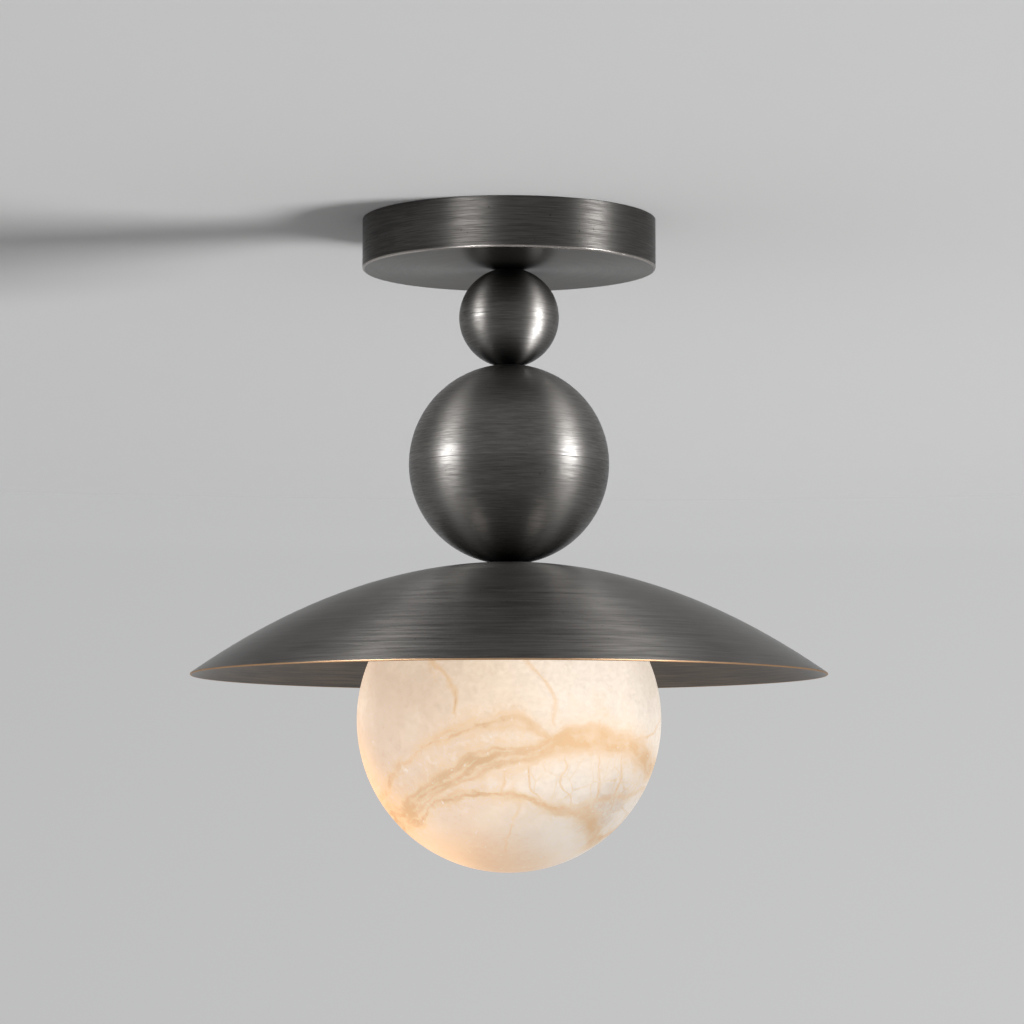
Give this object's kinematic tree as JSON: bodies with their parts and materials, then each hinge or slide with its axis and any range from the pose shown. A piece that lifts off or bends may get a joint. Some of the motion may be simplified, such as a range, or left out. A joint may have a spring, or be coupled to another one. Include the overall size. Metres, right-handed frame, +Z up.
{
  "type": "flush mount ceiling light",
  "caption": "Ceiling light with a round canopy, stacked metal balls, a shallow spun dome shade and a veined stone globe that screws on below it round a push-in lamp.",
  "frame": {"origin": "centre of the ceiling face of the mounting bracket, midway between its box screw slots", "axes": "+Z up into the ceiling, along the light's axis; the box screw slots lie along X; the picture looks along +Y"},
  "size_m": [0.316, 0.316, 0.3259],
  "materials": {
    "dark_metal": "dark gunmetal, brushed round the axis",
    "zinc_steel": "zinc plated",
    "green_steel": "green dyed zinc",
    "fitter_metal": "dark, turned",
    "brass": "bare",
    "alabaster": "honed, veined, lit from inside",
    "seal_rubber": "soft silicone",
    "bushing_plastic": "moulded",
    "holder_ceramic": "unglazed",
    "lamp_cover": "frosted, lit",
    "light_board": "white lacquer",
    "block_plastic": "translucent moulded",
    "brown_wire": "insulated",
    "blue_wire": "insulated",
    "green_wire": "insulated"
  },
  "bodies": {
    "fixture": {"canopy": "dark_metal", "small_ball_upper_half": "dark_metal", "small_ball_lower_half": "dark_metal", "large_ball_upper_half": "dark_metal", "large_ball_lower_half": "dark_metal", "shade": "dark_metal", "mounting_bracket": "zinc_steel", "canopy_set_screws": "zinc_steel", "canopy_lock_washer": "zinc_steel", "canopy_nut": "zinc_steel", "stem_tube": "zinc_steel", "fitter_lock_washer": "zinc_steel", "fitter_nut": "zinc_steel", "holder_strap": "zinc_steel", "holder_screws": "zinc_steel", "terminal_clamp_screws": "zinc_steel", "terminal_block_screws": "zinc_steel", "earth_screw": "green_steel", "globe_fitter": "fitter_metal", "earth_ring_terminal": "brass", "holder_contacts": "brass", "terminal_barrels": "brass", "stem_top_bushing": "bushing_plastic", "stem_bottom_bushing": "bushing_plastic", "holder_body": "holder_ceramic", "terminal_block": "block_plastic", "live_lead": "brown_wire", "neutral_lead": "blue_wire", "earth_lead": "green_wire"},
    "bulb": {"bulb_base": "holder_ceramic", "bulb_pins": "brass", "bulb_led_board": "light_board", "bulb_cover": "lamp_cover"},
    "seal": {"globe_seal": "seal_rubber"},
    "globe": {"globe": "alabaster", "globe_collar": "fitter_metal"}
  },
  "joints": [
    {"name": "bulb_pull", "type": "slide", "parent": "fixture", "child": "bulb", "axis": [0, 0, -1], "range_m": [0, 0.0105]},
    {"name": "globe_drop", "type": "slide", "parent": "fixture", "child": "seal", "axis": [0, 0, -1], "range_m": [0, 0.0085]},
    {"name": "globe_turn", "type": "hinge", "parent": "seal", "child": "globe", "pos_m": [0, 0, -0.185], "axis": [0, 0, -1], "range_deg": [0, 1080]}
  ],
  "couplings": [
    {"joint": "globe_drop", "follows": "globe_turn", "m_per_rad": 0.00044563}
  ]
}
